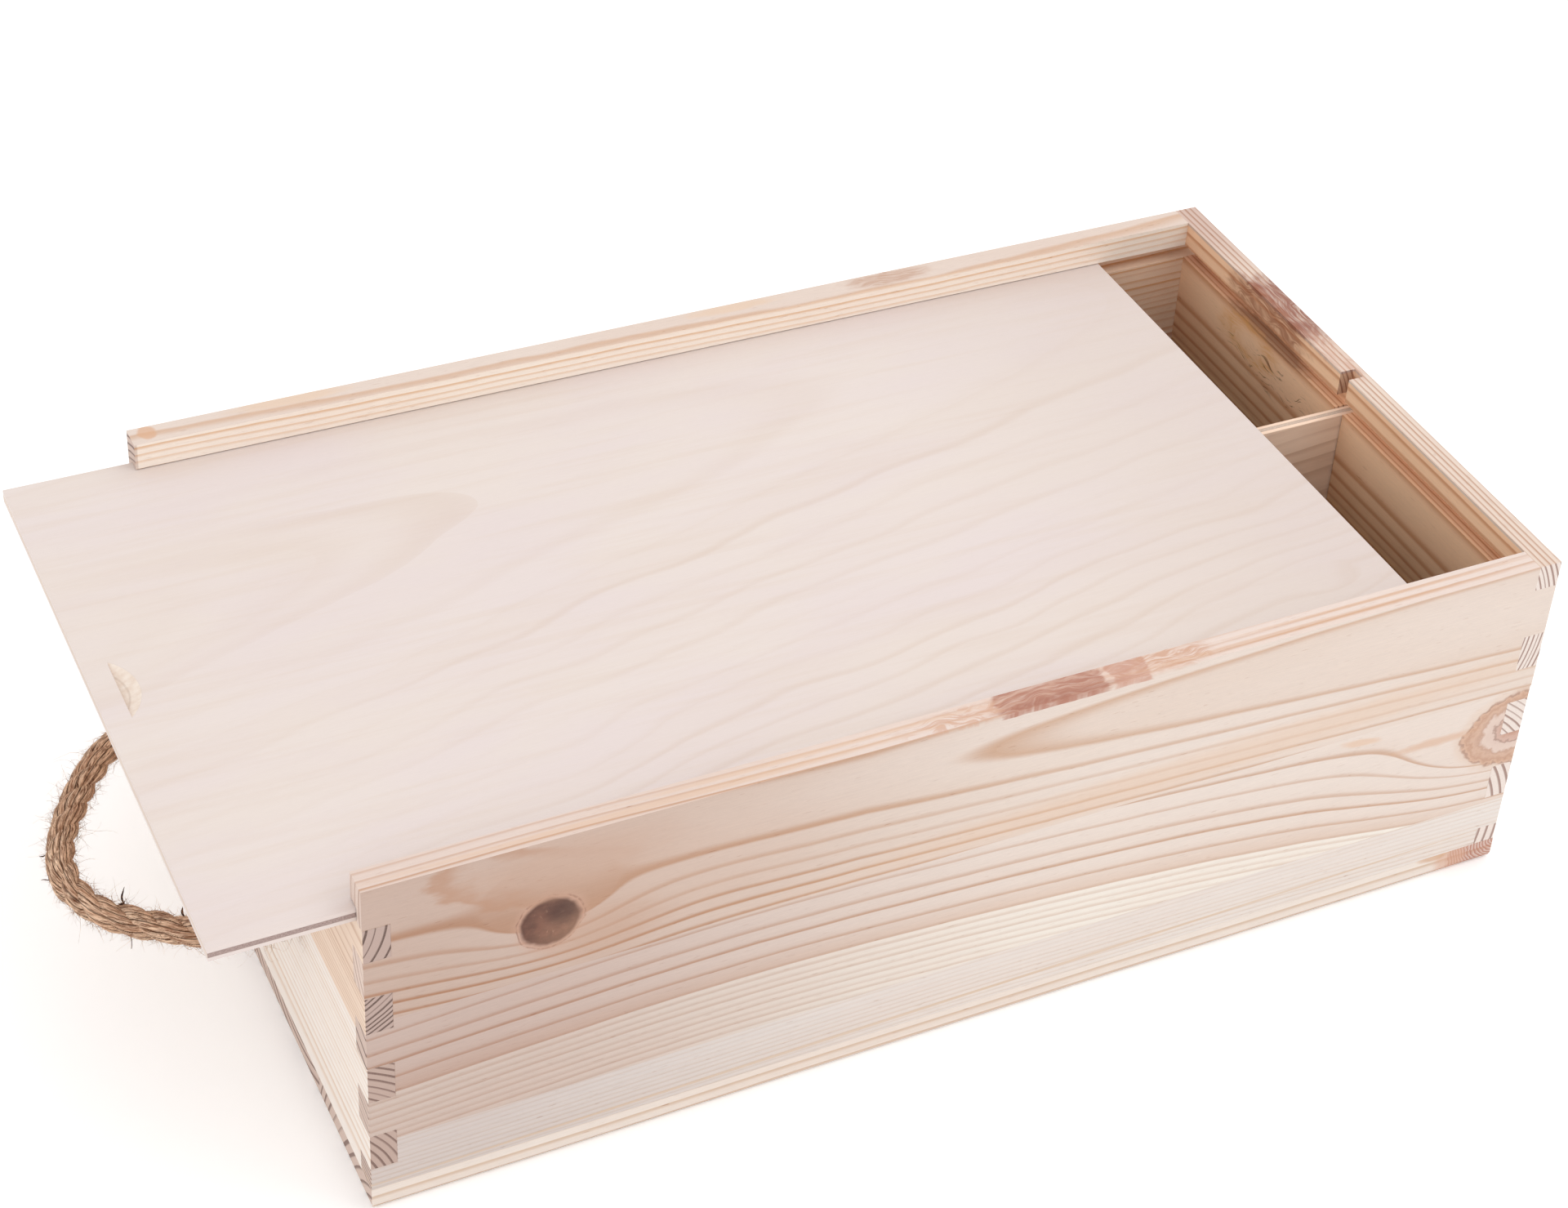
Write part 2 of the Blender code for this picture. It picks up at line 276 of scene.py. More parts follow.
def knot_fields(tree, a, b, c, u, knots, seed):
    """Grain flowing round each knot. Returns the new u and, per knot, its distance measure."""
    found = []
    rough = (noise(tree, a / 5.0 + seed, b / 5.0, c / 5.0, 2.0) - 0.5) * 0.28
    for knot in knots:
        (a0, b0, c0), (ra, rb, rc) = knot["at"], knot["size"]
        lift = knot.get("lift", 0.0)
        depth = square((c - c0) / rc) if rc else 0.0
        inside = root(square((a - a0) / ra) + square((b - b0) / rb) + depth)
        flow = (square((a - a0) / (ra * knot.get("stretch", 1.9)))
                + square((b - b0 - lift) / (rb * knot.get("push", 1.15))))
        flow = flow + depth if rc else flow
        amount = (1.0 / flow.math("MAXIMUM", 0.05)).math("MINIMUM", 1.0)
        u = u - (b - b0 - lift) * amount * 0.92
        found.append((knot, inside + rough * inside, a - a0, b - b0))
    return u, found


def rings(tree, a, b, c, u, spec, seed):
    """Growth rings about the pith. Returns late wood, each ring's own random value, radius.

    spec's inner_rings: a radius, and the width of the rings within it."""
    pb, pc = spec["pith"]
    tb, tc = spec.get("tilt", (0.0, 0.0))
    depth = c - pc
    if tc:
        depth = depth - (a - spec["tilt_from"]).math("MAXIMUM", 0.0) * tc
    across = u - pb - a * tb if tb else u - pb
    radius = root(square(depth) + square(across))
    width = spec["ring"]
    count, local = radius / width, width
    if "inner_rings" in spec:
        level, inner_width = spec["inner_rings"]
        count = ((radius - level).math("MAXIMUM", 0.0) / width
                 + (radius - level).math("MINIMUM", 0.0) / inner_width)
        outer = ramp_up(radius, level - 0.01, level + 0.01)
        local = outer * (width - inner_width) + inner_width
    uneven = noise(tree, radius / (width * 3.1) + seed, seed, 0.0, 1.0) - 0.5
    count = count + uneven * spec.get("uneven", 1.1)
    part = count.math("FRACT")
    index = count.math("FLOOR")
    own, before = random_of(index, seed), random_of(index - 1.0, seed)
    band = spec.get("band", 0.42 * width)
    line = ramp_up((1.0 - part) * local, band, band * 0.12)
    least = spec.get("least", 0.4)
    late = line * 0.72 + square(part) * part * spec.get("shade", 0.28)
    late = late * (own * (1.1 - least) + least)
    fading = ramp_up(part * local, spec.get("blur", 0.3), 0.0)
    late = late + fading * (before * (1.1 - least) + least)
    if "fade" in spec:
        level, share = spec["fade"]
        late = late * (ramp_up(radius, level + 3.0, level) * (1.0 - share) + share)
    if "ease" in spec:
        start, stop, share = spec["ease"]
        late = late * (1.0 - ramp_up(a, start, stop) * (1.0 - share))
    return late, own, radius


def inner_share(kind, place, normal, inward):
    """Shares of the faces inside the box, below the lid and above it. inward: their side."""
    a, b, c = place
    if kind == "flat":
        return ramp_up(normal[2], 0.5, 0.8), 0.0
    # the wall's outer plane, and how far along and up its inner side reaches
    outside, stop, roof = (-100.0, 174.5, 104.0) if kind == "side" else (-175.0, 99.5, 111.5)
    inside = ramp_up(c * inward - outside, 1.5, 2.5) * ramp_up(a.math("ABSOLUTE"), stop, stop - 0.5)
    above = ramp_up(b, roof - 0.5, roof)
    return inside * (1.0 - above), inside * above * ramp_up(normal[2], 0.8, 0.5)


def paint_knot(tree, colour, place, found, seed):
    """A knot with its bark and halo, over the board's colour. Also returns its rim's share."""
    a, b, c = place
    knot, inside, da, db = found
    soft, outer = knot.get("soft", 0.03), knot.get("bark", 1.0)
    core = ramp_up(inside, 1.0 + soft, 1.0 - soft)
    ripple = noise(tree, a / 2.0 + seed, b / 2.0, c / 2.0, 4.0)
    if "zones" in knot:
        wood = zoned(inside + (ripple - 0.5) * knot["ripple"], knot["zones"])
    else:
        away = root(square(da) + square(db))
        own_rings = (away / knot.get("ring", 0.8) + ripple * 1.6).math("PINGPONG", 1.0)
        dark, red = knot.get("colours", (KNOT_DARK, KNOT_RED))
        wood = mix(ramp_up(inside + (ripple - 0.5) * 1.4, 0.25, 1.0), red, dark)
        wood = mix(own_rings * knot.get("ring_strength", 0.28), wood, dark)
        checks = noise(tree, db.math("ARCTAN2", da) * 2.6, away / 3.0, seed, 3.0, 0.7)
        cracked = ramp_up(checks, 0.60, 0.70) * ramp_up(inside, 0.9, 0.3) * knot.get("checks", 0.4)
        wood = mix(cracked, wood, rgb(196, 158, 132))
        spot = root(square(da / knot["size"][0] - 0.38) + square(db / knot["size"][1] - 0.28))
        wood = mix(ramp_up(spot, 0.8, 0.2) * 0.85, wood, rgb(54, 24, 24))
    rim = ramp_up(inside, 0.86, 0.99) * core
    wood = mix(rim * knot.get("rim", 0.5), wood, rgb(92, 62, 52))
    halo = ramp_up(inside, knot.get("halo", 1.9), 0.95)
    colour = mix(halo * knot.get("halo_strength", 0.6), colour, knot.get("halo_colour", PINE_HEART))
    if outer > 1.0:
        bark = ramp_up(inside, outer + 0.03, outer - 0.03)
        outline = ramp_up((inside - outer).math("ABSOLUTE"), 0.05, 0.01) * ramp_up(ripple, 0.35, 0.6)
        colour = mix(bark * 0.5, colour, rgb(188, 148, 128))
        colour = mix(outline * 0.55, colour, rgb(128, 88, 72))
    return mix(core * knot.get("strength", 1.0), colour, wood), rim


def stain_or_shade(at, size, tint, strength=0.7, **shape):
    """An oval mark on the wood: mostly a stained patch, in one place painted shade. A size of 0
    reaches right through the board.

    turn, square, cut: its outline. edge, jag, grain, calm: how soft and how ragged that is.
    fringe, thin, off_top: where it stays away. swirl, least, upright, arcs, pace: its streaks."""
    return dict(at=at, size=size, tint=tint, strength=strength, **shape)


def paint_stain_or_shade(tree, colour, place, spot, normal, seed):
    a, b, c = place
    (a0, b0, c0), (ra, rb, rc), turn = spot["at"], spot["size"], spot.get("turn", 0.0)
    p, q = a - a0, b - b0
    if turn:
        p, q = p * cos(turn) + q * sin(turn), q * cos(turn) - p * sin(turn)
    if spot.get("square"):
        reach = (p / ra).math("ABSOLUTE").math("MAXIMUM", (q / rb).math("ABSOLUTE"))
        reach = reach.math("MAXIMUM", ((c - c0) / rc).math("ABSOLUTE"))
    else:
        reach = square(p / ra) + square(q / rb)
        reach = root(reach + square((c - c0) / rc) if rc else reach)
    if "cut" in spot:
        ca, cb, slope, pace = spot["cut"]
        reach = reach.math("MAXIMUM", ((b - cb) + (a - ca) * slope) / pace + 1.0)
    grain = spot.get("grain", 1.0)
    jag = noise(tree, a / (5.0 * grain) + seed, b / (2.2 * grain), c / (2.2 * grain), 3.0) - 0.5
    if "calm" in spot:
        jag = jag * ramp_up(a, spot["calm"], spot["calm"] - 8.0)
    reach = reach + jag * spot.get("jag", 0.7)
    edge = spot.get("edge", 0.08)
    cover = ramp_up(reach, 1.0 + edge, 1.0 - edge)
    if spot.get("off_top"):
        cover = cover * ramp_up(normal[2], 0.8, 0.5)
    if "fringe" in spot:
        cover = cover * ramp_up(reach, spot["fringe"], 0.98)
    if "thin" in spot:
        cover = cover * (ramp_up(a, a0 + ra * 0.4, a0 - ra * 0.3) * spot["thin"]
                         + (1.0 - spot["thin"]))
    other = b if spot.get("upright") else c
    if "swirl" in spot:
        low, high = spot["swirl"]
        turned = seed + a0
        bend = noise(tree, a / 13.0 + turned, other / 8.0, turned, 1.5)
        streaks = noise(tree, a / 8.0 + bend * 2.0, other / 1.1 + bend * 12.0, turned, 3.0, 0.6)
        least = spot.get("least", 0.4)
        cover = cover * (ramp_up(streaks, low, high) * (1.0 - least) + least)
    if "arcs" in spot:
        centre_a, centre_other = spot["arcs"]
        away = root(square(a - centre_a) + square(other - centre_other))
        wobble = noise(tree, a / 10.0 + seed, other / 6.0, seed, 2.0) * 3.0
        arc = (away / spot["pace"] + wobble + jag).math("FRACT")
        cover = cover * (ramp_up(arc, 0.2, 0.9) * 0.55 + 0.45)
    return mix(cover * spot["strength"], colour, spot["tint"])


def pine(name, kind, spec, seed, inward):
    """Solid pine. Colours follow rings in three dimensions, so face, edge and end grain agree."""
    mat, tree, shader = new_material(name, 0.62, 0.28)
    xyz = coordinates(tree)
    normal = face_normal(tree)
    place = a, b, c = [xyz[i] for i in AXES[kind]]
    end = ramp_up(normal[AXES[kind][0]].math("ABSOLUTE"), 0.55, 0.8)
    upward = ramp_up(normal[2], 0.5, 0.8)

    u = warped(tree, a, b, c, spec, seed)
    u, knots = knot_fields(tree, a, b, c, u, spec.get("knots", ()), seed)
    late, own, radius = rings(tree, a, b, c, u, spec, seed)

    cloud = noise(tree, a / 90.0 + seed, b / 22.0, c / 22.0, 3.0)
    fibre = noise(tree, a / 7.0 + seed, b / 0.32, c / 0.32, 3.0, 0.6)
    hair = noise(tree, a / 2.2, b / 0.11 + seed, c / 0.11, 2.0, 0.6)
    canal = ramp_up(noise(tree, a / 4.5 + seed, b / 0.42, c / 0.42, 1.0), 0.69, 0.77)

    early = spec.get("early", PINE_EARLY)
    colour = mix(ramp_up(cloud, 0.25, 0.75), early, spec.get("cloud", PINE_PALE))
    if "heart" in spec:
        level, strength = spec["heart"]
        inside = ramp_up(radius, level + 0.2, level - 0.2)
        colour = mix(inside * strength, colour, spec["heart_colour"])
        nearly = ramp_up(radius, level - 9.0, level - 0.5)
        colour = mix(inside * nearly * 0.35, colour, rgb(200, 164, 138))
    colour = mix(own * 0.10, colour, PINE_HEART)
    colour = mix(late * spec.get("contrast", 0.85), colour, spec.get("late", PINE_LATE))
    colour = mix(canal * late * 0.5 + canal * 0.2, colour, CANAL)
    shade = (fibre - 0.5) * 0.16 + (hair - 0.5) * 0.13
    shade = vector(tree, shade + 1.0, shade + 1.0, shade * 0.9 + 1.0)
    colour = mix(1.0, colour, shade, "MULTIPLY")
    # Darker and pinker towards one end, by default more weakly on top faces. On the near wall this is
    # partly the wood's own colour and partly painted shade of light falling from the right; on the
    # back wall it darkens the rim towards the far corner, mostly on top.
    if "tone_and_shade_drift" in spec:
        start, stop, tint = spec["tone_and_shade_drift"]
        on_side, on_top = spec.get("tone_and_shade_drift_shares", (1.0, 0.25))
        amount = ramp_up(a, start, stop) * (upward * (on_top - on_side) + on_side)
        colour = mix(amount, colour, tint, "MULTIPLY")
    # Painted light: upward faces made lighter and pinker than the sides of the same board.
    if "roof" in spec:
        colour = mix(upward, colour, spec["roof"], "MULTIPLY")

    # End grain: greyer, with dark late wood and the cut ends of fibres
    ends = mix(ramp_up(late, 0.12, 0.62) * 0.9, spec.get("end_ground", END_GROUND),
               spec.get("end_line", END_LINE))
    pores = noise(tree, a / 3.0, b / 0.16, c / 0.16, 2.0, 0.7)
    ends = mix(ramp_up(pores, 0.35, 0.7) * 0.35, ends, rgb(178, 150, 136))
    colour = mix(end, colour, ends)

    # Painted shade inside the box: faces below the lid are tinted warmer and darker, and darker still
    # further down. Painted light: the inner face of the lip above the lid is made lighter.
    below, above = inner_share(kind, place, normal, inward)
    tint = spec.get("inner_shade_tint", INNER_SHADE_TINT)
    colour = mix(below * spec.get("inner", 0.2), colour, tint, "MULTIPLY")
    if "deep_shade" in spec:
        colour = mix(below * ramp_up(b, 92.0, 48.0), colour, spec["deep_shade"], "MULTIPLY")
    if "lip_light" in spec:
        colour = mix(above, colour, spec["lip_light"], "MULTIPLY")

    dent = 0.0
    for found in knots:
        colour, rim = paint_knot(tree, colour, place, found, seed)
        dent = rim * 0.5 + dent
    for spot in spec.get("patches", ()):
        colour = paint_stain_or_shade(tree, colour, place, spot, normal, seed)

    put(tree, shader.inputs["Base Color"], colour)
    height = late * 0.35 + fibre * 0.5 + hair * 0.5 - canal * 0.25 - dent
    add_bump(tree, shader, height, PINE_RELIEF)
    return mat


def plywood(name, kind, spec, seed, layers):
    """Birch plywood: rotary-cut face veneers with faint contour lines, plies at the edges.

    layers: where the core veneer starts and stops, through the sheet."""
    mat, tree, shader = new_material(name, 0.55, 0.3)
    xyz = coordinates(tree)
    normal = face_normal(tree)
    a, b, c = (xyz[i] for i in AXES[kind])
    u = warped(tree, a, b, c, spec, seed)
    u, _ = knot_fields(tree, a, b, c, u, spec.get("knots", ()), seed)
    late, own, _ = rings(tree, a, b, c, u, spec, seed)
    cloud = noise(tree, a / 70.0 + seed, b / 30.0, c / 30.0, 3.0)
    fibre = noise(tree, a / 9.0 + seed, b / 0.5, c / 0.5, 3.0, 0.6)
    fleck = noise(tree, a / 2.6, b / 0.16 + seed, c / 0.16, 2.0, 0.6)
    streak = noise(tree, a / 60.0 + seed, b / 3.0 + seed, c / 3.0, 2.0)
    face = mix(ramp_up(cloud, 0.3, 0.7), spec["early"], spec["cloud"])
    face = mix(ramp_up(streak, 0.45, 0.75) * 0.35, face, spec["tone"])
    face = mix(own * 0.22, face, spec["tone"])
    face = mix(late * spec["contrast"], face, spec["late"])
    # Painted shade: the face veneer darker towards its +x end.
    if "tone_and_shade_drift" in spec:
        start, stop, tint, strength = spec["tone_and_shade_drift"]
        face = mix(ramp_up(a, start, stop) * strength, face, tint)
    shade = (fibre - 0.5) * 0.05 + (fleck - 0.5) * 0.06 + 1.0
    face = mix(1.0, face, vector(tree, shade, shade, shade), "MULTIPLY")

    # The core veneer shows its end grain on the long edges and its side grain on the short ones
    low, high = layers
    core = ramp_up(c, low - 0.06, low + 0.06) * ramp_up(c, high + 0.06, high - 0.06)
    cross = noise(tree, b / 14.0, a / 0.5 + seed, c / 0.25, 3.0, 0.65)
    end_core = mix(ramp_up(cross, 0.3, 0.7), *spec["core"])
    side_core = mix(ramp_up(cross, 0.3, 0.7), rgb(206, 186, 172), rgb(222, 204, 190))
    short = ramp_up(normal[AXES[kind][0]].math("ABSOLUTE"), 0.5, 0.8)
    colour = mix(core, face, mix(short, end_core, side_core))
    glue = (ramp_up((c - low).math("ABSOLUTE"), 0.14, 0.05)
            + ramp_up((c - high).math("ABSOLUTE"), 0.14, 0.05))
    colour = mix(glue * (1.0 - short * 0.6) * spec["glue"], colour, rgb(128, 100, 90))
    if "veneer" in spec:
        # The thumb notch, cut through the top veneer
        top = high + spec["veneer"]
        scoop = ramp_up(c, top - 0.03, top - 0.15) * ramp_up(normal[2], 0.4, 0.6)
        torn = noise(tree, a / 3.0 + seed, b / 1.6, c / 1.2, 2.0, 0.5)
        inside = mix(ramp_up(torn, 0.2, 0.8), rgb(222, 203, 187), rgb(234, 221, 209))
        inside = mix(glue * 0.2, inside, rgb(150, 118, 96))
        # Painted shadow along the foot of the notch's straight wall.
        wall_shadow = ramp_up(a, NOTCH_WALL + 0.8, NOTCH_WALL + 0.2)
        inside = mix(wall_shadow * 0.6, inside, rgb(120, 84, 62))
        colour = mix(scoop, colour, inside)
    put(tree, shader.inputs["Base Color"], colour)
    height = fibre * 0.4 + fleck * 0.6 - core * 0.5 + cross * core * 0.8
    add_bump(tree, shader, height, PLY_RELIEF)
    return mat


VENEER_T = 1.3  # thickness of a face veneer
NOTCH_WALL = -205.4  # x of the thumb notch's straight wall

NEAR_MIDDLE_STAINS = (
    stain_or_shade((143, 55.5, 0), (13, 1.5, 0), rgb(204, 160, 128), 0.55, edge=0.5, jag=0.9),
    stain_or_shade((117, 64, 0), (6.5, 1.3, 0), rgb(214, 178, 150), 0.6, turn=-0.15, edge=0.35),
)
NEAR_MIDDLE_KNOT = dict(at=(172.5, 52, 0), size=(18.5, 13.5, 0), stretch=2.1, push=1.6, lift=11,
                        halo=1.25, halo_strength=0.4, rim=0,
                        zones=((0, rgb(160, 104, 82)), (0.2, rgb(188, 146, 128)),
                               (0.33, rgb(198, 164, 150)), (0.38, rgb(158, 126, 114)),
                               (0.43, rgb(210, 186, 174)), (0.58, rgb(214, 192, 180)),
                               (0.66, rgb(184, 146, 126)), (0.76, rgb(200, 164, 142)),
                               (0.86, rgb(184, 142, 118)), (0.94, rgb(202, 164, 140)),
                               (0.98, rgb(168, 132, 114))), ripple=0.3, strength=0.85)
NEAR_TOP_STAINS = (
    stain_or_shade((-130, 105.3, 0), (27.9, 13.2, 0), rgb(176, 136, 112), 0.8, turn=-0.17, jag=0.6, grain=1.9,
          calm=-124, cut=(-128, 110, 0.33, 10), fringe=0.55, edge=0.08, off_top=True, thin=0.85),
    stain_or_shade((24, 112, -96), (34, 1.6, 5), rgb(214, 176, 154), 0.7, edge=0.4, jag=0.5,
          swirl=(0.35, 0.65)),
    stain_or_shade((13.6, 112, -95.8), (16, 1.6, 4.6), rgb(172, 118, 99), 0.95, square=True, jag=0.34,
          edge=0.06, swirl=(0.3, 0.65)),
    stain_or_shade((16, 112, -98.6), (20, 1.6, 1.4), rgb(158, 102, 84), 0.5, jag=0.5, edge=0.4,
          swirl=(0.3, 0.6)),
    stain_or_shade((37, 112, -95.8), (5.6, 1.6, 5), rgb(190, 138, 118), 0.75, square=True, jag=0.7, edge=0.12,
          swirl=(0.32, 0.62)),
    stain_or_shade((51, 112, -95.5), (11, 1.6, 4), rgb(198, 150, 122), 0.7, edge=0.4, least=0,
          swirl=(0.45, 0.56)),
    stain_or_shade((-14, 112, -97), (15, 1.6, 3.6), rgb(202, 156, 130), 0.65, edge=0.4, least=0,
          swirl=(0.45, 0.56)),
    stain_or_shade((-88, 88, 0), (36, 15, 0), rgb(196, 157, 132), 0.18, edge=0.6, jag=0.4, off_top=True),
    stain_or_shade((-122, 103, 0), (26, 8, 0), rgb(186, 146, 122), 0.32, edge=0.6, jag=0.4, off_top=True),
    stain_or_shade((-113, 77, 0), (15, 8, 0), rgb(180, 138, 112), 0.4, edge=0.7, jag=0.4, off_top=True),
    stain_or_shade((-95, 112, -97.5), (75, 1, 1), rgb(216, 176, 142), 0.4, jag=0.4, edge=0.5),
    stain_or_shade((-55, 112, -94.6), (48, 1, 0.8), rgb(218, 180, 148), 0.4, jag=0.4, edge=0.5),
    stain_or_shade((70, 74, 0), (110, 5, 0), rgb(214, 177, 146), 0.35, turn=0.03, jag=0.6, edge=0.6),
    stain_or_shade((96, 112, -97.6), (58, 1.6, 0.8), rgb(204, 158, 122), 0.5, jag=0.5, edge=0.5),
    stain_or_shade((118, 112, -94.6), (46, 1.6, 0.6), rgb(208, 164, 130), 0.5, jag=0.5, edge=0.5),
)
NEAR_TOP_KNOT = dict(at=(-126.8, 84.8, 0), size=(7.9, 7.7, 0), stretch=2.3, push=1.5, lift=10,
                     halo=1.5, halo_strength=0.45, halo_colour=rgb(196, 158, 140), bark=1.13,
                     colours=(rgb(90, 58, 48), rgb(116, 76, 62)), ring=1.4, ring_strength=0.12,
                     rim=0.15, soft=0.1, checks=0.35)
# Each near stave's drift: darker and pinker towards the left end, partly the wood's own colour and
# partly painted shade.
NEAR_WALL = (
    dict(pith=(150, -150), ring=1.55, wave=1.2, ripple=0.12, contrast=0.34, uneven=0.5,
         ridges=((-40, 60, 0.02),), early=rgb(219, 208, 201), late=rgb(196, 164, 136),
         cloud=rgb(221, 213, 207), tone_and_shade_drift=(20, -160, (0.82, 0.8, 0.81, 1)),
         patches=(stain_or_shade((-20, 11, 0), (190, 0.5, 0), rgb(206, 174, 140), 0.5, turn=0.012, jag=0.25),)),
    dict(pith=(170, -140), ring=2.3, inner_rings=(131.2, 5), wave=0.9, ripple=0.3, contrast=0.75,
         uneven=0.5, ridges=((-75, 40, 0.065),), heart=(131.2, 0.75), fade=(131.2, 0.5), band=1.3,
         early=rgb(228, 218, 208), cloud=rgb(229, 223, 214), heart_colour=rgb(217, 202, 193),
         tone_and_shade_drift=(40, -160, (0.72, 0.63, 0.61, 1)), patches=NEAR_MIDDLE_STAINS,
         knots=(NEAR_MIDDLE_KNOT,)),
    # The top stave's roof colour is painted light on its top faces.
    dict(pith=(100.6, -127), ring=2.75, inner_rings=(26, 11), tilt=(-0.019, 0.026), tilt_from=-40,
         uneven=0.16, blur=0.4, wave=0.8, ripple=0.28, contrast=0.92, band=0.8, shade=0.22,
         late=rgb(186, 142, 108), ease=(-70, 30, 0.72), roof=(1.06, 1.02, 1.02, 1),
         end_ground=rgb(226, 206, 194), end_line=rgb(176, 144, 128), early=rgb(217, 202, 191),
         cloud=rgb(219, 206, 197), tone_and_shade_drift=(40, -170, (0.73, 0.63, 0.59, 1)),
         bulges=((-88, 82, 30, 14, 2),), patches=NEAR_TOP_STAINS, knots=(NEAR_TOP_KNOT,)),
)
FAR_TOP_STAINS = (
    stain_or_shade((-170, 112, 97), (2.6, 1.5, 3.2), rgb(210, 164, 130), edge=0.2),
    stain_or_shade((-128, 112, 98.5), (16, 1.5, 2.4), rgb(222, 190, 160), 0.5, edge=0.4),
    stain_or_shade((10, 112, 98), (14, 1.5, 2), rgb(222, 190, 160), 0.5, edge=0.4),
    stain_or_shade((62, 112, 97), (13, 1.5, 3.4), rgb(186, 146, 122), 0.75, edge=0.4, jag=1, swirl=(0.35, 0.6)),
)
# The inner share and its tint: painted shade on inner faces below the lid. The top stave's lip colour:
# painted light on the inner face above the lid.
FAR_WALL = (
    dict(pith=(-20, 130), ring=3.4, wave=1.6, contrast=0.7, uneven=1.4,
         knots=(dict(at=(92, 16.5, 0), size=(5.2, 4.6, 0), stretch=2.6, push=1.3, halo=1.6,
                     colours=(rgb(128, 88, 72), rgb(176, 128, 104)), rim=0.4),)),
    dict(pith=(52, 128), ring=3.2, inner_rings=(27, 9), tilt=(0.014, -0.026), tilt_from=-90, wave=1.8,
         contrast=0.8, late=rgb(190, 140, 110), inner=0.35),
    dict(pith=(60, 78), ring=2.3, wave=2.2, ripple=0.4, contrast=0.82, early=rgb(217, 198, 186),
         late=rgb(196, 148, 108), cloud=rgb(220, 204, 193), lip_light=(1.3, 1.4, 1.42, 1), inner=0.7,
         inner_shade_tint=(1.16, 0.98, 0.78, 1), patches=FAR_TOP_STAINS),
)
FRONT_WALL = (
    dict(pith=(5, -199.3), ring=2, wave=0.8, contrast=0.7, uneven=0.5, early=rgb(235, 225, 216),
         late=rgb(208, 176, 146), cloud=rgb(237, 229, 222), end_ground=rgb(184, 160, 149)),
    dict(pith=(102.5, -194.8), ring=1.5, inner_rings=(32, 2.7), wave=0.8, contrast=0.6,
         early=rgb(230, 206, 186), cloud=rgb(232, 211, 192), end_ground=rgb(182, 159, 150),
         end_line=rgb(66, 44, 38)),
)
# Inside the back wall: painted shade, warmer and darker below the lid and darker still further down.
BACK_END = dict(end_ground=rgb(230, 218, 210), end_line=rgb(146, 116, 106), inner=1,
                inner_shade_tint=(1.28, 1.03, 0.78, 1), deep_shade=(0.74, 0.64, 0.52, 1))
BACK_TOP_STAINS_AND_SLOT_SHADE = (
    stain_or_shade((38, 112, 171.5), (18, 1.6, 12), rgb(142, 88, 72), 0.9, jag=0.9, edge=0.3, swirl=(0.3, 0.6)),
    stain_or_shade((10, 112, 170.5), (14, 1.6, 5), rgb(196, 146, 124), 0.5, jag=0.9, edge=0.3,
          swirl=(0.45, 0.6)),
    stain_or_shade((43, 108, 167.8), (21, 6, 2.5), rgb(150, 90, 62), 0.8, jag=0.7, edge=0.3, swirl=(0.3, 0.6),
          upright=True),
    stain_or_shade((42, 99.4, 169), (22, 1.2, 4), rgb(120, 72, 48), 0.6, edge=0.3),
    stain_or_shade((50, 92.5, 167.8), (15, 6.5, 2), rgb(226, 164, 98), 0.85, fringe=0.2, edge=0.35,
          swirl=(0.4, 0.6), upright=True),
    stain_or_shade((36, 88, 167.8), (24, 6, 2), rgb(126, 78, 48), 0.85, edge=0.4, jag=1, least=0,
          swirl=(0.56, 0.68), upright=True),
    # Painted shade in the divider's slot at the top of the back wall.
    stain_or_shade((0, 108, 169), (2.2, 5, 3.2), rgb(120, 70, 52), 0.85, square=True, jag=0, edge=0.02),
    stain_or_shade((12, 78, 167.8), (8, 0.7, 2), rgb(104, 64, 40), 0.6, edge=0.4, turn=-0.3),
)
BACK_WALL = (
    dict(pith=(16, 131), ring=2.7, wave=1.4, contrast=0.9, **BACK_END),
    dict(pith=(15, 131), ring=1.9, wave=1.4, contrast=0.9, early=rgb(226, 204, 182), **BACK_END),
    # The top stave's drift darkens its rim towards the far corner, mostly on the top face.
    dict(pith=(91, 130), ring=1.55, wave=2.2, contrast=0.8, band=0.6, late=rgb(178, 130, 100),
         early=rgb(220, 200, 186), cloud=rgb(224, 207, 194), **BACK_END,
         tone_and_shade_drift=(48, 92, (0.83, 0.75, 0.75, 1)), tone_and_shade_drift_shares=(0.3, 1), patches=BACK_TOP_STAINS_AND_SLOT_SHADE),
)
# The lid's drift is painted shade: the face darker towards its +x end.
LID = dict(pith=(58, 50), tilt=(0.14, -0.06), tilt_from=-400, ring=6.6, inner_rings=(72, 2.6),
           wave=7.5, swell=(62, 36), ripple=0.9, uneven=1, band=1.5, blur=1.1, shade=0.14,
           contrast=0.2, least=0.05, ease=(-60, -190, 0.3), veneer=VENEER_T,
           early=rgb(220, 207, 204), cloud=rgb(222, 210, 203), tone=rgb(215, 198, 186),
           late=rgb(194, 164, 138), core=(rgb(138, 116, 112), rgb(178, 156, 148)), glue=0.4,
           tone_and_shade_drift=(20, 130, rgb(206, 190, 182), 0.4),
           knots=(dict(at=(117, -72, 0), size=(5, 5, 0), stretch=2),))
DIVIDER = dict(pith=(40, -46), tilt=(0.05, 0.03), tilt_from=0, ring=3.8, wave=3, ripple=0.8,
               core=(rgb(190, 166, 148), rgb(214, 194, 178)), glue=0.3, contrast=0.5,
               early=rgb(248, 218, 194), cloud=rgb(250, 224, 202), tone=rgb(216, 180, 154),
               late=rgb(184, 138, 106))
BOTTOM = tuple(
    dict(pith=(y, z), ring=ring, wave=2.2, contrast=0.75, early=rgb(224, 211, 201),
         late=rgb(196, 164, 136), cloud=rgb(226, 216, 207))
    for y, z, ring in ((-110, -16, 3.4), (-40, 40, 3), (20, -30, 3.6), (70, 36, 2.8))
)
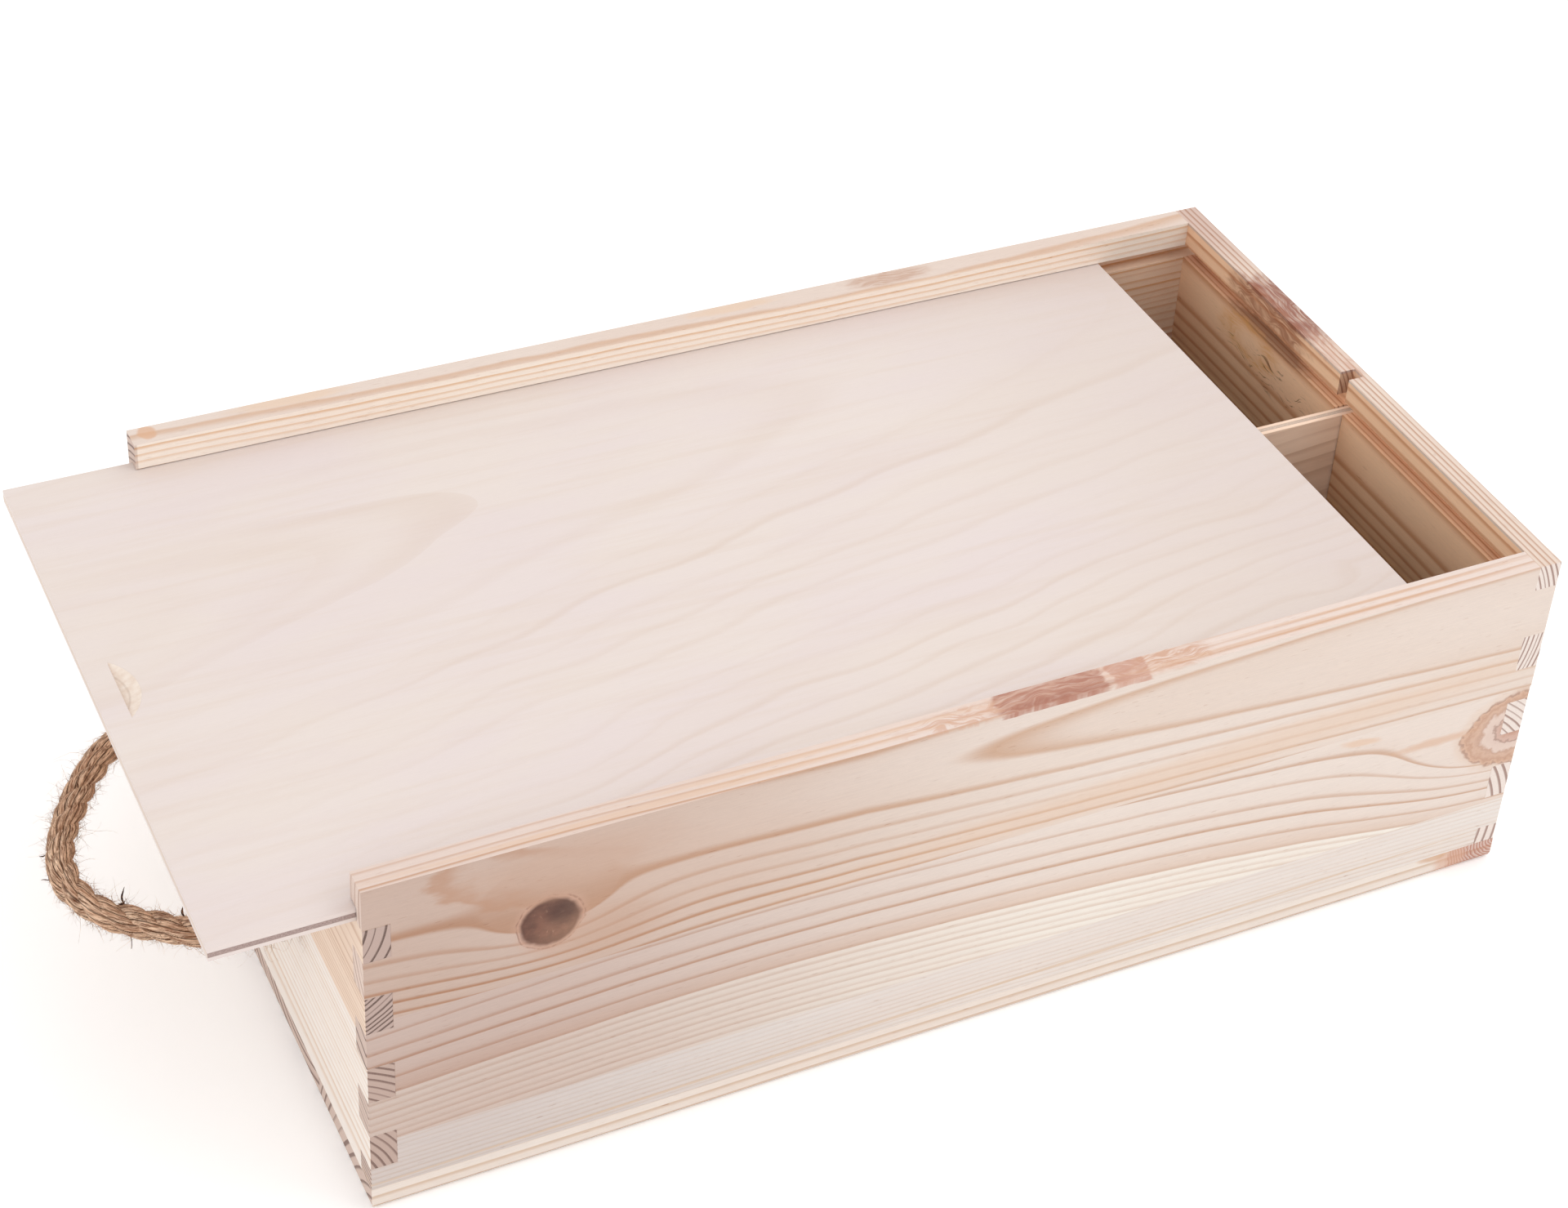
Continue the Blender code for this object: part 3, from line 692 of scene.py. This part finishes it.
BOTTOM[0]["patches"] = (
    stain_or_shade((171, -100, 4), (12, 9, 14), rgb(170, 108, 88), 0.9, jag=0.3, edge=0.08,
          arcs=(178, 9), pace=1),
    stain_or_shade((160, -100, 4), (5, 9, 14), rgb(206, 162, 138), 0.6, jag=0.8, edge=0.4),
    stain_or_shade((153, -100, 7), (5, 9, 1.3), rgb(200, 158, 124), edge=0.4),
)


# -------- boards

# Nominal planes in mm where boards meet: sides of the finger joints and glue lines
TENON_LEVELS = [15.1 + 12.2 * i for i in range(8)] + [13.6 + 12.2 * i for i in range(7)] + [103.8]
NEAR_GLUE, FAR_GLUE, FRONT_GLUE, BACK_GLUE = (24.0, 67.0), (31.0, 71.0), (59.2,), (44.0, 69.0)
BOTTOM_GLUE = (-58.0, -12.0, 40.0)
WALLS = (
    ("near", "side", NEAR_WALL, NEAR_GLUE, 3.0, 1),
    ("far", "side", FAR_WALL, FAR_GLUE, 17.0, -1),
    ("front", "end", FRONT_WALL, FRONT_GLUE, 29.0, 1),
    ("back", "end", BACK_WALL, BACK_GLUE, 43.0, -1),
)
GAP = 0.34  # a vertex this close to a nominal plane, in mm, is moved onto it
HOLE_REACH = 6.0 * MM  # vertices this close to a rope hole's centre keep their height
ARRIS = 0.45 * MM  # rounding of outer edges; joint edges take a share of it


def nearest(value, levels):
    best = min(levels, key=lambda level: abs(level - value))
    return best if abs(best - value) < GAP else value


def board(node, name, levels, mat, body="root"):
    """A copy of a CAD board with its assembly gaps closed up and its arrises eased.

    levels gives, for x, y and z, the nominal planes in mm where boards meet."""
    bm = bmesh.new()
    bm.from_mesh(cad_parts[node].data)
    bmesh.ops.remove_doubles(bm, verts=bm.verts, dist=2e-6)
    for vert in bm.verts:
        in_hole = (abs(abs(vert.co.y) - HOLE_Y) < HOLE_REACH
                   and abs(vert.co.z - HOLE_Z) < HOLE_REACH)
        for axis in range(3):
            if levels[axis] and not (in_hole and axis == 2):
                vert.co[axis] = nearest(vert.co[axis] / MM, levels[axis]) * MM
    bmesh.ops.dissolve_limit(bm, angle_limit=0.01, verts=bm.verts, edges=bm.edges)
    weight = bm.edges.layers.float.new("bevel_weight_edge")
    bm.normal_update()
    for face in bm.faces:
        face.smooth = max(abs(n) for n in face.normal) < 0.999
    for edge in bm.edges:
        if len(edge.link_faces) == 2:
            edge.smooth = all(face.smooth for face in edge.link_faces)
            if edge.calc_face_angle_signed(0.0) > 1.0:
                edge[weight] = arris_share([v.co / MM for v in edge.verts], name)
    mesh = bpy.data.meshes.new(name)
    bm.to_mesh(mesh)
    bm.free()
    mesh.materials.append(mat)
    obj = add_object(name, mesh)
    bevel = obj.modifiers.new("arris", "BEVEL")
    bevel.limit_method, bevel.width, bevel.segments = "WEIGHT", ARRIS, 2
    bevel.use_clamp_overlap = True
    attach(obj, body)
    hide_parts(node)


def arris_share(ends, name):
    """How much of the full rounding an edge gets, from where it lies."""
    def lies(axis, *levels):
        return any(all(abs(end[axis] - level) < 0.02 for end in ends) for level in levels)

    if name.startswith(("lid", "divider")):
        return 0.4
    if name.startswith("bottom"):
        return 0.0 if lies(1, *BOTTOM_GLUE) else 0.15
    for wall, _, _, glue, _, _ in WALLS:
        if name.startswith(wall) and lies(2, *glue):
            return 0.0
    corner = lies(0, -HALF_LENGTH, HALF_LENGTH) and lies(1, -HALF_WIDTH, HALF_WIDTH)
    if corner or lies(2, HEIGHT):
        return 1.0
    return 0.7 if name.startswith("front") and lies(2, FRONT_TOP) else 0.22


def make_boards():
    ends = [s * (HALF_LENGTH - END_T) for s in (-1, 1)]
    sides = [s * (HALF_WIDTH - SIDE_T) for s in (-1, 1)]
    for wall, kind, specs, glue, seed, inward in WALLS:
        for number, spec in enumerate(specs, 1):
            mat = pine(f"pine_{wall}_{number}", kind, spec, seed + 2.37 * number, inward)
            planes = (ends, sides, [BOTTOM_T, *glue, *TENON_LEVELS])
            board(f"{wall}_stave_{number}", f"{wall}_board_{number}", planes, mat)
    for number, spec in enumerate(BOTTOM, 1):
        mat = pine(f"pine_bottom_{number}", "flat", spec, 61.0 + 3.1 * number, 1)
        board(f"bottom_stave_{number}", f"bottom_board_{number}", ([], BOTTOM_GLUE, []), mat)
    middle = (-0.65, 0.65)  # y of the divider's core veneer
    mat = plywood("plywood_divider", "side", DIVIDER, 81.0, middle)
    board("divider", "divider_panel", ([], [], [BOTTOM_T]), mat)
    low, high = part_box("lid")
    layers = (low.z / MM + VENEER_T, high.z / MM - VENEER_T)
    mat = plywood("plywood_lid", "flat", LID, 93.0, layers)
    board("lid", "lid_panel_visual", ([], [], []), mat, "lid_panel")


# -------- rope

STRAND_R = 2.45 * MM
STRAND_OUT = 1.5 * MM  # from the rope's centre line to a strand's
LAY = 24.0 * MM  # length of one turn of the strands
YARNS = 7
WALL_OUT, WALL_IN = -175.0 * MM, -167.8 * MM
HINGE_X = -179.5 * MM
SWING_UP = 60.0  # degrees, handle_swing's upper limit
LOOP_ROUTE = (  # out from the wall, and y, in mm
    (13.0, -43.4), (25.4, -39.5), (33.2, -33.9), (40.4, -28.4), (46.3, -21.4), (49.6, -13.4),
    (50.3, -5.1), (48.7, 3.4), (45.0, 12.2), (39.8, 21.4), (33.2, 31.0), (25.0, 39.0), (13.0, 43.2),
)
BARK_BITS = (  # share of the rope's length, angle round it, length in mm
    (0.325, 0.9, 5.0), (0.332, 0.5, 3.0), (0.30, 3.9, 3.4), (0.221, 1.0, 3.0), (0.47, 4.6, 2.4),
    (0.52, 4.9, 2.0), (0.13, 0.6, 2.0), (0.66, 0.2, 1.6),
)


def run_along(points):
    """How far each point is from the first, along the points."""
    steps = np.linalg.norm(np.diff(points, axis=0), axis=1)
    return np.concatenate([[0.0], np.cumsum(steps)])


def smooth_route(points, count):
    """count points, evenly spaced along a natural cubic spline through the points."""
    pts = np.array(points, float)
    chord = run_along(pts)
    h = np.diff(chord)
    n = len(pts)
    system = np.eye(n)
    rhs = np.zeros((n, 3))
    for i in range(1, n - 1):
        system[i, i - 1:i + 2] = h[i - 1], 2 * (h[i - 1] + h[i]), h[i]
        rhs[i] = 6 * ((pts[i + 1] - pts[i]) / h[i] - (pts[i] - pts[i - 1]) / h[i - 1])
    bend = np.linalg.solve(system, rhs)
    t = np.linspace(0.0, chord[-1], 60 * n)
    i = np.clip(np.searchsorted(chord, t, side="right") - 1, 0, n - 2)
    a, b = (chord[i + 1] - t) / h[i], (t - chord[i]) / h[i]
    a, b, step = a[:, None], b[:, None], h[i][:, None]
    fine = a * pts[i] + b * pts[i + 1]
    fine += ((a ** 3 - a) * bend[i] + (b ** 3 - b) * bend[i + 1]) * step ** 2 / 6
    run = run_along(fine)
    even = np.linspace(0.0, run[-1], count)
    return np.stack([np.interp(even, run, fine[:, k]) for k in range(3)], axis=1)


def rope_route():
    """From one knot's face through the wall, round the loop and back to the other knot's face."""
    loop = [(HINGE_X, -HOLE_Y, HOLE_Z)]
    loop += [(WALL_OUT - out * MM, y * MM, HOLE_Z) for out, y in LOOP_ROUTE]
    loop += [(HINGE_X, HOLE_Y, HOLE_Z)]
    curve = smooth_route(loop, 340)
    entry = np.linspace((WALL_IN, -HOLE_Y, HOLE_Z), curve[0], 26)[:-1]
    leave = np.linspace(curve[-1], (WALL_IN, HOLE_Y, HOLE_Z), 26)[1:]
    return np.concatenate([entry, curve, leave])


def inside_route(points, side, count):
    """A smooth route inside the box; points are mm from the inner end of a rope hole."""
    points = [(WALL_IN / MM + x, side * (HOLE_Y / MM + y), HOLE_Z / MM + z) for x, y, z in points]
    return smooth_route(np.array(points) * MM, count)


def knot_route(side):
    """A rope end that goes in, turns back and wraps round itself, as a stopper knot does."""
    points = [(x, 0.0, 0.0) for x in (0.0, 5.0, 10.0, 14.0)] + [(17.2, 1.6, 1.0), (18.0, 4.6, 2.6)]
    for i in range(15):
        t = i / 14
        angle = 0.55 + t * 2.45 * pi
        points.append((16.0 - 11.0 * t, 6.4 * cos(angle), 6.4 * sin(angle)))
    return inside_route(points, side, 240)


def tail_route(side):
    points = [(12.0, -2.2, -1.0), (17.0, -2.8, -2.0), (21.0, -2.4, -3.4), (25.0, -1.6, -5.2),
              (28.5, -0.4, -7.2)]
    return inside_route(points, side, 60)


def unit(vectors):
    return vectors / np.linalg.norm(vectors, axis=-1, keepdims=True)


def frames_along(route, start_normal=(0, 0, 1)):
    """Tangent and two turning-free normals at every point of the route."""
    tangent = unit(np.gradient(route, axis=0))
    normal = np.zeros_like(route)
    current = np.array(start_normal, float)
    for i, t in enumerate(tangent):
        current = unit(current - t * current.dot(t))
        normal[i] = current
    return tangent, normal, np.cross(tangent, normal)


def tube_faces(rows, around, offset):
    """Quads of a tube of rows rings, with a cap at each end."""
    i, j = np.meshgrid(np.arange(rows - 1), np.arange(around), indexing="ij")
    k = (j + 1) % around
    quads = np.stack([i * around + j, i * around + k, (i + 1) * around + k, (i + 1) * around + j], -1)
    faces = (quads.reshape(-1, 4) + offset).tolist()
    faces.append((np.arange(around)[::-1] + offset).tolist())
    faces.append((np.arange(around) + (rows - 1) * around + offset).tolist())
    return faces


def around_axis(angle, normal, side):
    """The direction at each angle from normal towards side."""
    return np.cos(angle)[:, None] * normal + np.sin(angle)[:, None] * side


def strand_points(route, turn0, scale=1.0, taper=None, around=36, seed=0):
    """Surface of one strand of laid rope: rings of points round a helix about the route.

    Also returns coordinates that follow the yarns, for the material."""
    rng = np.random.default_rng(seed)
    run = run_along(route)
    _, normal, side = frames_along(route)
    wander = np.interp(run, np.linspace(0, run[-1], 14), rng.normal(0, 0.10, 14))
    theta = tau * run / (LAY * scale) + turn0 + wander
    swell = 1 + np.interp(run, np.linspace(0, run[-1], 26), rng.normal(0, 0.035, 26))
    shrink = np.ones_like(run) if taper is None else taper
    radial = around_axis(theta, normal, side)
    centre = route + radial * (STRAND_OUT * scale * shrink)[:, None]
    along = unit(np.gradient(centre, axis=0))
    across = unit(np.cross(along, radial))
    upright = np.cross(across, along)
    phi = pi + np.linspace(0, tau, around, endpoint=False)
    ratio = (STRAND_OUT + STRAND_R) / STRAND_R
    lead = phi[None, :] + (ratio * (theta - turn0))[:, None]
    yarn = np.abs(np.cos(lead * YARNS / 2)) ** 0.7
    each = np.floor((lead * YARNS / 2 + pi / 2) / pi) % 997
    size = 1 + 0.05 * np.sin(each * 12.9898 + seed)
    nap = rng.normal(0, 0.012, lead.shape)
    radius = STRAND_R * scale * (swell * shrink)[:, None] * (0.79 + 0.23 * yarn + nap) * size
    points = (centre[:, None, :] + radius[..., None]
              * (np.cos(phi)[None, :, None] * upright[:, None, :]
                 + np.sin(phi)[None, :, None] * across[:, None, :]))
    lay_coords = np.stack([np.broadcast_to(run[:, None], lead.shape) / MM, lead * STRAND_R / MM,
                           np.full(lead.shape, seed * 3.7)], -1)
    return points, lay_coords


def mesh_piece(name, verts, faces, mat, lay_coords=None):
    mesh = bpy.data.meshes.new(name)
    mesh.from_pydata([tuple(v) for v in verts], [], faces)
    mesh.polygons.foreach_set("use_smooth", [True] * len(mesh.polygons))
    if lay_coords is not None:
        layer = mesh.attributes.new("lay", "FLOAT_VECTOR", "POINT")
        layer.data.foreach_set("vector", np.asarray(lay_coords, np.float32).ravel())
    mesh.materials.append(mat)
    mesh.update()
    return add_object(name, mesh)


def laid_rope(name, route, mat, scale=1.0, taper=None, seed=1):
    """Three strands wound about the route."""
    verts, coords, faces = [], [], []
    for k in range(3):
        points, lay_coords = strand_points(route, tau * k / 3, scale, taper, seed=seed + k)
        faces += tube_faces(points.shape[0], points.shape[1], sum(len(v) for v in verts))
        verts.append(points.reshape(-1, 3))
        coords.append(lay_coords.reshape(-1, 3))
    return mesh_piece(name, np.concatenate(verts), faces, mat, np.concatenate(coords))


def fibre_mesh(name, starts, directions, lengths, thickness, curl, mat, seed):
    """Stray fibres: thin three-sided tubes that leave the rope and curl."""
    rng = np.random.default_rng(seed)
    verts, faces = [], []
    count = 7
    for start, heading, length in zip(starts, directions, lengths):
        pace = length / (count - 1)
        here, way = np.array(start), unit(np.array(heading))
        twist = rng.normal(0, curl, 3)
        path = []
        for _ in range(count):
            path.append(here.copy())
            way = unit(way + np.cross(twist, way) * pace * 1000 + rng.normal(0, curl * 0.8, 3))
            here = here + way * pace
        path = np.array(path)
        _, normal, side = frames_along(path, rng.normal(0, 1, 3))
        radius = thickness * rng.uniform(0.7, 1.25) * np.linspace(1.0, 0.35, count)
        base = len(verts)
        for p, n, s, r in zip(path, normal, side, radius):
            verts += [p + r * (cos(a) * n + sin(a) * s) for a in (0, tau / 3, 2 * tau / 3)]
        faces += tube_faces(count, 3, base)
    return mesh_piece(name, verts, faces, mat)


def room_below_lid(points):
    """How far each point stays below the lid when the handle is swung right up."""
    swing = radians(SWING_UP)
    out, up = HINGE_X - points[:, 0], points[:, 2] - HOLE_Z
    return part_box("lid")[0].z - (HOLE_Z + out * sin(swing) + up * cos(swing))


def fuzz_on(name, route, count, mat, seed, long_share=0.12, surface=3.9 * MM):
    """Short stray fibres all along a rope, none of them long enough to reach the lid."""
    rng = np.random.default_rng(seed)
    tangent, normal, side = frames_along(route)
    pick = rng.integers(4, len(route) - 4, count)
    angle = rng.uniform(0, tau, count)
    radial = around_axis(angle, normal[pick], side[pick])
    around = around_axis(angle, side[pick], -normal[pick])
    starts = route[pick] + radial * surface * rng.uniform(0.86, 1.0, count)[:, None]
    way = (radial * rng.uniform(0.10, 0.9, count)[:, None]
           + tangent[pick] * rng.choice([-1, 1], count)[:, None]
           * rng.uniform(0.5, 1.2, count)[:, None]
           + around * rng.normal(0, 0.5, count)[:, None])
    lengths = rng.uniform(1.2, 4.5, count) * MM
    long_ones = rng.random(count) < long_share
    lengths[long_ones] *= rng.uniform(1.6, 3.0, long_ones.sum())
    lengths = np.minimum(lengths, np.maximum(room_below_lid(starts) - 0.4 * MM, 0.3 * MM))
    return fibre_mesh(name, starts, way, lengths, 0.045 * MM, 0.16, mat, seed)


def frayed_end(name, tail, mat, seed, count=150):
    """The brush of fibres at a cut end."""
    rng = np.random.default_rng(seed)
    tangent, normal, across = frames_along(tail)
    spread = rng.normal(0, 1.5, (count, 2)) * MM
    sideways = spread[:, :1] * normal[-1] + spread[:, 1:] * across[-1]
    way = tangent[-1] + sideways / (3.2 * MM)
    lengths = rng.uniform(3.0, 7.0, count) * MM
    return fibre_mesh(name, tail[-3] + sideways, way, lengths, 0.075 * MM, 0.06, mat, seed + 10)


def bark_bits(route, mat):
    """A few dark curled slivers of stalk caught between the strands."""
    rng = np.random.default_rng(5)
    tangent, normal, side = frames_along(route)
    verts, faces = [], []
    for share, angle, length in BARK_BITS:
        i = int(share * len(route))
        radial = cos(angle) * normal[i] + sin(angle) * side[i]
        here = route[i] + radial * 3.7 * MM
        way = radial * 0.5 + tangent[i] * rng.uniform(-1, 1) + rng.normal(0, 0.35, 3)
        path = []
        for _ in range(8):
            path.append(here.copy())
            way = unit(unit(way) + radial * 0.28 + rng.normal(0, 0.18, 3))
            here = here + way * length * MM / 7
        _, across, thick = frames_along(np.array(path), rng.normal(0, 1, 3))
        wide = np.sin(np.linspace(0.35, pi - 0.1, 8)) * 0.32 * MM
        base = len(verts)
        for p, n, s, w in zip(path, across, thick, wide):
            verts += [p + n * w, p + s * 0.09 * MM, p - n * w, p - s * 0.09 * MM]
        faces += tube_faces(8, 4, base)
    return mesh_piece("rope_bark_bits", verts, faces, mat)


def jute_material():
    mat, tree, shader = new_material("jute", 0.88, 0.15)
    source = tree.nodes.new("ShaderNodeAttribute")
    source.attribute_name = "lay"
    run, lead, strand = split(tree, source.outputs["Vector"])
    x, y, z = coordinates(tree)
    fibre = noise(tree, run / 2.4, lead / 0.34, strand, 4.0, 0.7)
    broad = noise(tree, run / 7.0, lead / 1.4, strand, 2.0)
    patch = noise(tree, x / 14.0, y / 14.0, z / 14.0, 2.0)
    turns = lead * (YARNS / 2) / (STRAND_R / MM)
    own = random_of(((turns + pi / 2) / pi).math("FLOOR"), strand)
    colour = mix(ramp_up(fibre, 0.36, 0.62), rgb(88, 46, 26), rgb(255, 222, 192))
    colour = mix(ramp_up(broad, 0.35, 0.75) * 0.4, colour, rgb(220, 168, 132))
    colour = mix(own * 0.3, colour, rgb(152, 98, 68))
    colour = mix(ramp_up(patch, 0.5, 0.8) * 0.3, colour, rgb(140, 100, 72))
    # Painted shade in the creases between the yarns.
    crease_shade = ramp_up(turns.math("COSINE").math("ABSOLUTE"), 0.0, 0.4)
    colour = mix((1.0 - crease_shade) * 0.9, colour, rgb(48, 26, 16))
    put(tree, shader.inputs["Base Color"], colour)
    add_bump(tree, shader, fibre * 0.8 + broad * 0.2, ROPE_RELIEF)
    return mat


def mottled_material(name, roughness, specular, scale, detail, dark, light):
    mat, tree, shader = new_material(name, roughness, specular)
    x, y, z = coordinates(tree)
    tone = noise(tree, x / scale, y / scale, z / scale, detail)
    colour = mix(ramp_up(tone, 0.35, 0.65), dark, light)
    put(tree, shader.inputs["Base Color"], colour)
    return mat


def make_rope():
    jute = jute_material()
    fibre = mottled_material("jute_fibre", 0.7, 0.3, 3.0, 1.0, rgb(128, 88, 62), rgb(206, 170, 136))
    bark = mottled_material("jute_bark", 0.8, 0.2, 0.6, 2.0, rgb(46, 30, 26), rgb(104, 68, 50))
    route = rope_route()
    rope = laid_rope("rope_visual", route, jute, seed=1)
    fuzz = fuzz_on("rope_fuzz", route, 2600, fibre, 11, long_share=0.2)
    bits = bark_bits(route, bark)
    for piece in (rope, fuzz, bits):
        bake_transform(piece)
    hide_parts("rope_loop", "rope_end_near", "rope_end_far")
    for side, word in ((-1, "near"), (1, "far")):
        path, tail = knot_route(side), tail_route(side)
        knot = laid_rope(f"knot_{word}_visual", path, jute, scale=0.82, seed=20 + side)
        ending = laid_rope(f"knot_{word}_tail", tail, jute, scale=0.84, seed=30 + side,
                           taper=np.linspace(1.0, 0.9, len(tail)))
        hair = fuzz_on(f"knot_{word}_fuzz", path, 260, fibre, 40 + side, surface=3.2 * MM)
        brush = frayed_end(f"knot_{word}_frayed_end", tail, fibre, 60 + side)
        for piece in (knot, ending, hair, brush):
            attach(piece, "root")
        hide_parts(f"knot_{word}")


make_rope()
make_boards()


# -------- floor and light

def make_floor():
    bm = bmesh.new()
    bmesh.ops.create_grid(bm, x_segments=40, y_segments=40, size=6.0)
    mesh = bpy.data.meshes.new("floor")
    bm.to_mesh(mesh)
    bm.free()
    mat, tree, shader = new_material("floor", 0.9, 0.0)
    x, y, _ = coordinates(tree)
    tone = noise(tree, x / 400.0, y / 400.0, 0.0, 2.0)
    colour = mix(ramp_up(tone, 0.3, 0.7), (0.95, 0.95, 0.95, 1.0), (0.97, 0.97, 0.97, 1.0))
    put(tree, shader.inputs["Base Color"], colour)
    shader.inputs["Emission Color"].default_value = (1.0, 1.0, 1.0, 1.0)
    shader.inputs["Emission Strength"].default_value = 0.12
    mesh.materials.append(mat)
    floor = add_object("floor", mesh)
    floor.location.z = -0.0001


def area_light(name, place, target, size, power):
    data = bpy.data.lights.new(name, "AREA")
    data.shape, data.size, data.energy = "DISK", size, power
    light = add_object(name, data)
    light.location = place
    light.rotation_euler = (Vector(target) - Vector(place)).to_track_quat("-Z", "Y").to_euler()


def make_light():
    world = bpy.data.worlds.new("studio")
    bpy.context.scene.world = world
    world.use_nodes = True
    background = world.node_tree.nodes["Background"]
    background.inputs["Color"].default_value = (1.0, 1.0, 1.0, 1.0)
    background.inputs["Strength"].default_value = 1.1
    area_light("key", (1.0, -0.7, 1.5), (0.05, 0.0, 0.05), 1.2, 4.0)
    area_light("fill", (-1.5, -0.4, 1.5), (0.0, 0.0, 0.05), 1.4, 0.8)
    view = bpy.context.scene.view_settings
    view.view_transform = "Standard"
    view.look = "None"
    view.exposure, view.gamma = 0.0, 1.0


make_floor()
make_light()
